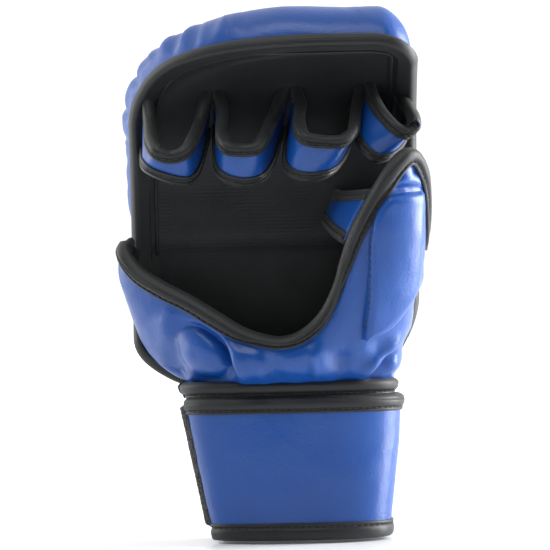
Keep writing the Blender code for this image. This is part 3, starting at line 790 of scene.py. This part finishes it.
# Pairs of (attached border, free rim) from the little finger's side round to the thumb's back.
HEEL = (
    ((-71, 13, 138), (-75, 3, 141.5)), ((-71, 13, 124), (-77, -3, 136)),
    ((-70.5, 13, 112), (-70.5, -10, 126.5)), ((-70, 12.5, 102), (-60, -18, 119.5)),
    ((-68, 11.5, 94), (-47, -25, 112.6)), ((-62, 9, 85), (-35, -31, 105)),
    ((-49, -4, 77), (-24, -35, 98)), ((-32, -19, 72), (-14, -37, 94)),
    ((-15, -22.5, 70), (-4.5, -38, 92.6)), ((0, -23, 70), (5, -39, 95.3)),
    ((10, -22.5, 70), (14.5, -40, 103.5)), ((18, -21.5, 70), (21.5, -42, 116)),
    ((24, -20, 70), (25.5, -45, 129)), ((30, -18, 70), (30.5, -48, 143)),
    ((35, -15.5, 70), (38, -51, 157)), ((39, -12.5, 70), (45.8, -53, 169.5)),
    ((42.5, -8.5, 70), (52.6, -51, 177)), ((44.5, -4, 70), (58, -45, 177.5)),
    ((45.5, 3, 71), (61.5, -36, 170)), ((48, 10, 80), (62.6, -24, 159)),
    ((53, 13.5, 95), (62.6, -11, 149)), ((56, 13.5, 110), (61.8, 0, 142)),
    ((58.5, 13.5, 126), (60.5, 10, 138)),
)
HEEL_BORDER, HEEL_RIM = spline([pair[0] for pair in HEEL]), spline([pair[1] for pair in HEEL])
RIM_INSET = 1.8  # the rim's line runs along the middle of its binding, this far below the edge
HELD_UP_TO = 73.0  # the cuff holds the heel plain up to here
PLAIN_SHARE = 0.2  # and it holds only what lies past this u


def heel_base(u, v):
    """The plain sheet of the palm's heel and the thumb: u along the rim, v from the border up to it."""
    u, v = np.broadcast_arrays(np.asarray(u, float), np.asarray(v, float))
    low, high = HEEL_BORDER(u), HEEL_RIM(u)
    high = high + unit(high - low) * RIM_INSET
    out = low + high  # it swells away from the middle, more to the front than to the sides
    out[..., 0] *= mix(0.06, 0.30, smooth((u - 0.35) / 0.3)) + 0.80 * smooth((0.24 - u) / 0.14)
    out[..., 1] -= 12.0 * smooth((0.4 - u) / 0.3)
    out[..., 2] = 0.0
    swell = mix(6.0, 8.5, smooth((u - 0.45) / 0.2)) * smooth((u + 0.01) / 0.10)
    swell = swell * mix(1.0, 0.35, smooth((u - 0.72) / 0.2)) + 1.0
    arch = np.sin(math.pi * np.clip(v, 0, 1))
    plain = mix(low, high, v[..., None])
    free = smooth((plain[..., 2] - HELD_UP_TO) / 9.0)
    above_cuff = mix(1.0, free, smooth((u - PLAIN_SHARE) / 0.1))
    rise = np.where(v < 0.5, arch**0.6 * above_cuff, arch**1.5)
    return plain + unit(out) * (swell * rise)[..., None]


FOLD_LEVEL = 84.0
# Each fold's height, where it crosses that level, its width, its lean, and its middle and half length
HEEL_FOLDS = (
    (-5.5, -29.0, 2.2, 0.35, 85.0, 8.0), (1.5, -23.5, 3.0, 0.30, 85.0, 9.0),
    (1.3, -61.2, 4.0, -0.20, 96.0, 12.0), (-2.6, 23.5, 4.5, 0.0, 85.0, 5.5),
    (2.0, 9.2, 2.5, 0.20, 84.0, 8.0),
)
CUSHION = (-41.5, 89.5)  # the puffed middle of the heel's little-finger half, as (x, z)
CUSHION_AXIS = (0.70, -0.71)  # its long half runs down to the right
CUSHION_HALF = (13.5, 8.0)  # along and aside
LONG_FOLD_AT, LONG_FOLD_SLOPE = (33.0, 80.2), 0.864  # the slanting fold under the thumb's pad


def cushion(x, z):
    """The heel's puffed cushion with the groove round it."""
    c, s = CUSHION_AXIS
    right, up = x - CUSHION[0], z - CUSHION[1]
    along, aside = right * c + up * s, up * c - right * s
    ring = np.hypot(along / CUSHION_HALF[0], aside / CUSHION_HALF[1])
    deepest = 0.6 + 0.4 * np.sin(np.arctan2(aside, along) + 0.6)
    return 2.6 * smooth((1.05 - ring) / 0.9) - 4.4 * bump(ring, 1.12, 0.22) * deepest


def thumb_folds(x, z, low):
    """Slanting folds below the thumb, with a long one under its pad."""
    slanted = z * 0.80 - x * 0.55
    uneven = noise1(slanted / 6.5, 25.0) * 1.2 + noise1(slanted / 2.6, 26.0) * 0.2
    right, up = x - LONG_FOLD_AT[0], z - LONG_FOLD_AT[1]
    above = (up - LONG_FOLD_SLOPE * right) / math.hypot(1, LONG_FOLD_SLOPE)
    fold = 3.2 * bump(above, 0.0, 2.4) - 4.0 * bump(above, -4.8, 2.2) + 1.8 * bump(above, -9.0, 2.4)
    held = smooth((x - 26.0) / 9.0) * smooth((57.0 - x) / 9.0)
    return low * (smooth((x - 22.0) / 12.0) * uneven + held * fold)


def heel_relief(sheet, u, v):
    """Folds of the heel and the thumb, in millimetres above the plain sheet."""
    x, z = sheet[..., 0], sheet[..., 2]
    low = smooth((104.0 - z) / 20.0)  # the heel itself, below the thumb
    relief = cushion(x, z) + thumb_folds(x, z, low)
    for height, at, width, lean, middle, half in HEEL_FOLDS:
        relief = relief + height * bump(x + lean * (z - FOLD_LEVEL), at, width) * bump(z, middle, half)
    relief = relief + low * noise1(x / 7.5 + z * 0.05, 21.0) * 2.3
    relief = relief + low * noise1(x / 3.0 + z * 0.02, 23.0) * 0.2
    relief = relief * mix(1.0, 0.3, smooth((x - 44.0) / 8.0) * low)  # calmer round the thumb's corner
    side = smooth((x - 54.0) / 5.0) * smooth((z - 92.0) / 10.0)
    relief = relief + side * (noise1((z - 0.5 * x) / 7.5, 27.0) * 1.7 + noise1(z / 3.4, 28.0) * 0.35)
    level = z - 0.06 * (x - 50.0)
    crown = 1.8 * bump(level, 167.8, 2.6) - 1.4 * bump(level, 163.4, 1.2)  # the thumb's roll and groove
    relief = relief + smooth((x - 40.0) / 5.0) * crown
    relief = relief + 0.7 * noise2(x / 13.0, z / 15.0, 29.0) + 0.10 * noise2(x / 5.0, z / 5.0, 31.0)
    line = HEEL_RIM(u) - HEEL_BORDER(u)
    heading = unit(HEEL_RIM(u + SMALL) - HEEL_RIM(u - SMALL))
    below_rim = (1 - v) * np.linalg.norm(np.cross(line, heading), axis=-1)
    tucked = mix(1.0, smooth((z - HELD_UP_TO) / 8.0), smooth((u - PLAIN_SHARE) / 0.1))
    return relief * smooth((below_rim - 5.0) / 6.0) * smooth(v / 0.05) * tucked


def heel_at(x, z):
    """The (u, v) of places on the palm side of the sheet, found by search and Newton's steps."""
    tried_u, tried_v = grid((0.05, 0.86), (0.0, 1.0), 82, 41)
    known = heel_base(tried_u, tried_v).reshape(-1, 3)
    best = np.argmin((known[:, 0] - x[:, None]) ** 2 + (known[:, 2] - z[:, None]) ** 2, axis=1)
    u, v = tried_u.ravel()[best], tried_v.ravel()[best]
    for _ in range(12):
        across, along = slopes(heel_base, u, v)
        miss = heel_base(u, v)
        dx, dz = x - miss[:, 0], z - miss[:, 2]
        whole = across[:, 0] * along[:, 2] - across[:, 2] * along[:, 0]
        u = np.clip(u + 0.7 * (dx * along[:, 2] - dz * along[:, 0]) / whole, 0.0, 0.9)
        v = np.clip(v + 0.7 * (dz * across[:, 0] - dx * across[:, 2]) / whole, 0.0, 1.0)
    return u, v


# The thumb's sewn-on pad: its left and right edges seen from the palm, from low to high, as (x, z).
PATCH_LEFT = spline([
    (32.0, 95.0), (33.8, 107.5), (35.2, 118.7), (36.2, 130.0), (37.2, 142.0), (39.5, 151.5),
    (45, 160.5),
])
PATCH_RIGHT = spline([
    (33.5, 95.0), (43.0, 99.0), (51.5, 108.5), (56.8, 121.0), (58.6, 135.6), (59.3, 149.0),
    (58.5, 162.5),
])
PATCH_LENGTH, PATCH_RISE = 64.0, 5.0
LEFT_SLOPE, RIGHT_SLOPE, FOOT_SLOPE, TOP_SLOPE = 4.0, 4.5, 3.0, 5.0  # how far each side takes to rise
PATCH_SEAM = slice(4, -16)  # the rows of its sheet that the stitches run along


def make_heel():
    u, v = grid((0, 1), (0, 1), 331, 91)
    relief = heel_relief(heel_base(u, v), u, v)
    shell = layer("heel_shell", heel_base, u, v, SKIN_TOP + relief, SKIN_FOOT + relief, BLUE)
    attach(shell, HAND_TO_THUMB, ("heel_shell", "thumb_shell"))
    u, v, relief = (k[::3, ::3] for k in (u, v, relief))  # the lining needs fewer places
    lining = layer("heel_inside", heel_base, u, v, 0.2 + relief, -0.8 + relief, LINING)
    attach(lining, HAND_TO_THUMB, ("heel_lining", "thumb_lining"))
    line = np.linspace(0, 1, 261)
    trim("rim_binding", heel_base, line, np.ones(261), HAND_TO_THUMB,
         ("palm_rim_binding", "thumb_rim_binding"), (0, -15, 80),
         2.5, -0.9, leg=5.6, thick=1.3, nose=2.3)


def make_patch():
    """The thumb's sewn-on pad, puffed from edge to edge."""
    a, b = grid((0, 1), (0, 1), 49, 97)
    flat = mix(PATCH_LEFT(b), PATCH_RIGHT(b), a[..., None])
    u, v = (k.reshape(a.shape) for k in heel_at(flat[..., 0].ravel(), flat[..., 1].ravel()))
    wide = np.linalg.norm(PATCH_RIGHT(b) - PATCH_LEFT(b), axis=-1)
    sides = np.minimum(a / LEFT_SLOPE, (1 - a) / RIGHT_SLOPE) * wide
    ends = np.minimum(b / FOOT_SLOPE, (1 - b) / TOP_SLOPE) * PATCH_LENGTH
    border = np.clip(np.minimum(sides, ends), 0, 1)
    rise = PATCH_RISE * np.sqrt(1 - (1 - border) ** 2)
    relief = 0.4 * heel_relief(heel_base(u, v), u, v)
    wave = 0.5 * noise2(flat[..., 0] / 11.0, flat[..., 1] / 9.0, 33.0)
    outer = offset(heel_base, u, v, 2.3 + rise + relief + wave)
    patch = solid("thumb_patch", outer, offset(heel_base, u, v, 1.6 + relief), BLUE)
    attach(patch, HAND_TO_THUMB, ("thumb_pad", "thumb_pad_foam"))
    along = np.gradient(outer[2], axis=0)
    normal = unit(np.cross(outer[3] - outer[1], along))[PATCH_SEAM]
    stitches = stitch_row("patch_stitches", outer[2][PATCH_SEAM] + normal * 0.1, normal)
    attach(stitches, HAND_TO_THUMB)


STRIP_FOOT = spline([(19.3, 13, 149), (20.0, -6, 147), (22.5, -25, 143), (27.0, -43, 139)])
STRIP_TOP = spline([(25.0, 12, 163), (27.0, -6, 161.5), (32.0, -25, 161), (39.0, -46, 161)])


def strip_point(u, v):
    """The strip between thumb and index finger: u from back to palm, v from foot to top."""
    u, v = np.broadcast_arrays(np.asarray(u, float), np.asarray(v, float))
    return mix(STRIP_FOOT(u), STRIP_TOP(u), v[..., None])


def make_strip():
    u, v = grid((0, 1), (0, 1), 41, 13)
    puff = 0.9 * np.sin(math.pi * v)
    shell = layer("crotch_shell", strip_point, u, v, SKIN_TOP + puff, SKIN_FOOT, BLUE)
    attach(shell, STRIP_TO_THUMB, ["thumb_strip"])
    lining = layer("crotch_lining", strip_point, u, v, LINING_TOP, -0.3, LINING)
    attach(lining, STRIP_TO_THUMB, ["thumb_strip_lining"])
    line = np.linspace(0, 1, 41)
    for edge, level in (("top", 1.0), ("foot", 0.0)):
        trim(f"crotch_{edge}_binding", strip_point, line, np.full(41, level), STRIP_TO_THUMB,
             [f"thumb_strip_{edge}_binding"], (24, -15, 152), leg=4.0)


# ---------------- cuff and strap

# Round the cuff, in degrees from the thumb's side and over the back
PILE_FROM, ROOT_FROM, CUFF_FROM, STRAP_FROM = 108.0, 184.0, 200.0, 207.0
HOOK_FROM, TAB_END, CUFF_END = 455.0, 500.0, 550.0
PILE_END, ROOT_END = STRAP_FROM + 1.0, STRAP_FROM + 5.0

# Up from the cuff's mouth
CUFF_FOOT, CUFF_TOP = 0.5, 73.5
STRAP_FOOT, STRAP_TOP = 2.2, 66.2
PILE_FOOT, PILE_TOP = 6.0, 64.0

CUFF_CENTRE, CUFF_SLIDE = 1.8, -0.048  # at the mouth, and per millimetre up
CUFF_WIDTH, CUFF_WIDENING = 35.8, 0.152  # half of it
CUFF_DEPTH, CUFF_DEEPENING = 20.0, 0.06
CUFF_FULLNESS = 0.10  # how much the oval is filled out between its axes
FLARE_FROM, FLARE = 66.0, 2.0  # the hem's stretch, and how far it leans out
STRAP_HEIGHT, TAB_HEIGHT = 3.7, 6.3  # the strap's inside above the cuff's


def cuff_point(degrees, z):
    """The inside of the cuff, a tapering rounded oval."""
    degrees, z = np.broadcast_arrays(np.asarray(degrees, float), np.asarray(z, float))
    c, s = np.cos(np.radians(degrees)), np.sin(np.radians(degrees))
    flare = FLARE * np.maximum(z - FLARE_FROM, 0) / (CUFF_TOP - FLARE_FROM)
    width = CUFF_WIDTH + CUFF_WIDENING * z + flare
    depth = CUFF_DEPTH + CUFF_DEEPENING * z + flare
    fill = 1 + CUFF_FULLNESS * (2 * c * s) ** 2
    centre = CUFF_CENTRE + CUFF_SLIDE * z
    return np.stack([centre + width * c * fill, depth * s * fill, z], axis=-1)


def strap_point(degrees, z):
    """The inside of the strap, which lifts off the cuff towards its tab."""
    degrees, z = np.broadcast_arrays(np.asarray(degrees, float), np.asarray(z, float))
    share = np.clip((degrees - STRAP_FROM) / (HOOK_FROM - STRAP_FROM), 0, 1)
    return offset(cuff_point, degrees, z, mix(STRAP_HEIGHT, TAB_HEIGHT, share), level=True)


def make_cuff():
    a, z = grid((CUFF_FROM, CUFF_END), (CUFF_FOOT, CUFF_TOP), 150, 40)
    wave = 0.15 * noise2(a / 9.0, z / 8.0, 41.0)
    shell = layer("cuff_outer", cuff_point, a, z, SKIN_TOP + wave, SKIN_FOOT, BLUE, level=True)
    attach(shell, "hand", ["cuff_shell"])
    lining = layer("cuff_inner", cuff_point, a, z, LINING_TOP, 0.0, LINING, level=True)
    attach(lining, "hand", ["cuff_lining"])
    trim("cuff_binding", cuff_point, a[:, -1], z[:, -1], "hand", ["cuff_top_binding"],
         (0, 0, 60), leg=5.4)


def joint_bend(first, second, joint, start, end):
    """Two bodies with places along Y on both sides of a joint, whose reaches are in millimetres."""
    at = np.array(JOINTS[joint]["pos_m"])
    return (first, second, tuple(at + (0, start * MM, 0)), tuple(at + (0, end * MM, 0)))


def make_strap():
    """The band and its tab in one, and the band's root on the cuff."""
    fold = joint_bend("strap", "tab", "tab_peel", -3.0, 3.0)
    a, z = grid((STRAP_FROM, TAB_END), (STRAP_FOOT, STRAP_TOP), 240, 45)
    share = (z - STRAP_FOOT) / (STRAP_TOP - STRAP_FOOT)
    puff = 0.9 * np.sin(math.pi * share) ** 0.6
    puff = puff + 0.30 * noise2(a / 26.0, z / 15.0, 43.0) + 0.08 * noise2(a / 8.0, z / 6.0, 45.0)
    shell = layer("strap_band", strap_point, a, z, 2.0 + puff, SKIN_FOOT, BLUE, level=True)
    attach(shell, fold, ("strap_shell", "tab_shell"))
    lining = layer("strap_inside", strap_point, a, z, LINING_TOP, 0.0, LINING, level=True)
    attach(lining, fold, ("strap_lining", "tab_lining"))
    for edge, row in (("top", -1), ("foot", 0)):
        trim(f"strap_{edge}_tape", strap_point, a[:, row], z[:, row], fold,
             (f"strap_{edge}_binding", f"tab_{edge}_binding"), (0, 0, 34), leg=6.2)
    a, z = grid((ROOT_FROM, ROOT_END), (STRAP_FOOT + 2, STRAP_TOP - 2), 24, 20)
    root = layer("strap_root", cuff_point, a, z, 4.5, 3.5, PILE, level=True)
    attach(root, joint_bend("hand", "strap", "strap_swing", 1.0, -7.0))
    height = np.linspace(STRAP_FOOT, STRAP_TOP, 40)
    trim("tab_end_tape", strap_point, np.full(40, TAB_END), height, "tab", ["tab_end_binding"],
         strap_point(TAB_END - 20, 34.0), 2.3, leg=6.0)


def make_pile():
    """Napped loop tape round the cuff's little-finger side, under the strap's end."""
    a, z = grid((PILE_FROM, PILE_END), (PILE_FOOT, PILE_TOP), 300, 190)
    nap = 0.30 * noise2(a * 1.7, z * 1.4, 51.0) + 0.35 * noise2(a * 4.1, z * 3.3, 52.0)
    up = np.minimum(z - PILE_FOOT, PILE_TOP - z) / 1.5
    aside = np.minimum(a - PILE_FROM, PILE_END - a) / 2.0
    rise = (1.4 + 1.6 * nap) * smooth(np.minimum(up, aside))
    pile = layer("loop_pile", cuff_point, a, z, 5.0 + rise, STRAP_HEIGHT, PILE, level=True)
    attach(pile, "hand", ["loop_tape"])


# ---------------- build

make_pad()
make_loops()
make_heel()
make_patch()
make_strip()
make_cuff()
make_strap()
make_pile()

for node, look in (("strap_anchor", BLUE), ("hook_tape", PILE)):
    mesh = frame["nodes"][node].data
    mesh.materials.clear()
    mesh.materials.append(look)

# ---------------- studio

FLOOR_HALF, FLOOR_Z = 6.0, -0.0012

floor_mesh = bpy.data.meshes.new("floor")
corners = [(x * FLOOR_HALF, y * FLOOR_HALF, 0) for x, y in ((-1, -1), (1, -1), (1, 1), (-1, 1))]
floor_mesh.from_pydata(corners, [], [(0, 1, 2, 3)])
floor = bpy.data.objects.new("floor", floor_mesh)
bpy.context.collection.objects.link(floor)
floor.location.z = FLOOR_Z
paper = Nodes("paper")
away = paper.add("ShaderNodeVectorMath")
away.operation = "LENGTH"
paper.link(paper.where, away.inputs[0])
glow = paper.ramp(away.outputs["Value"], 0.35, 1.4, 0.05, 1.0)  # it fades to white away from the glove
floor_mesh.materials.append(paper.finish(
    Base_Color=(0.85, 0.87, 0.89, 1.0), Roughness=paper.ramp(paper.noise(3.0), 0.3, 0.7, 0.25, 0.32),
    Specular_IOR_Level=0.5, Emission_Color=(1.0, 1.0, 1.0, 1.0), Emission_Strength=glow,
))

bpy.context.scene.view_settings.view_transform = "Standard"

world = bpy.data.worlds.new("studio")
bpy.context.scene.world = world
world.use_nodes = True
tree = world.node_tree
split = tree.nodes.new("ShaderNodeSeparateXYZ")
tree.links.new(tree.nodes.new("ShaderNodeTexCoord").outputs["Generated"], split.inputs[0])
fade = tree.nodes.new("ShaderNodeMapRange")
for key, value in (("From Min", -0.55), ("From Max", 0.10), ("To Min", 0.05), ("To Max", 1.15)):
    fade.inputs[key].default_value = value
tree.links.new(split.outputs["Y"], fade.inputs["Value"])
bright = tree.nodes.new("ShaderNodeMath")  # what the camera sees directly is white all round
bright.operation = "MAXIMUM"
tree.links.new(tree.nodes.new("ShaderNodeLightPath").outputs["Is Camera Ray"], bright.inputs[0])
tree.links.new(fade.outputs["Result"], bright.inputs[1])
tree.links.new(bright.outputs[0], tree.nodes["Background"].inputs["Strength"])
tree.nodes["Background"].inputs["Color"].default_value = (1.0, 1.0, 1.0, 1.0)


def lamp(name, where, target, size, power):
    """A rectangular area lamp, in metres and watts."""
    light = bpy.data.lights.new(name, "AREA")
    light.shape = "RECTANGLE"
    light.size, light.size_y = size
    light.energy = power
    lamp_object = bpy.data.objects.new(name, light)
    bpy.context.collection.objects.link(lamp_object)
    lamp_object.location = where
    heading = Vector(target) - Vector(where)
    lamp_object.rotation_euler = heading.to_track_quat("-Z", "Y").to_euler()


lamp("over_front", (-0.2, -0.7, 1.25), (0, 0, 0.13), (0.9, 0.5), 6.0)
lamp("behind_right", (0.95, 0.18, 0.25), (0, 0, 0.10), (0.5, 1.1), 31.0)
lamp("behind_left", (-0.95, 0.35, 0.35), (0, 0, 0.14), (0.5, 1.1), 5.5)

camera_data = bpy.data.cameras.new("camera")
camera = bpy.data.objects.new("camera", camera_data)
bpy.context.collection.objects.link(camera)
bpy.context.scene.camera = camera
camera_data.sensor_width = 36.0
camera_data.lens = 209.0
camera.location = place((-7.05, -1520.0, 118.0))
camera.rotation_euler = (math.pi / 2, math.radians(1.2), 0)
camera_data.shift_y = 0.026
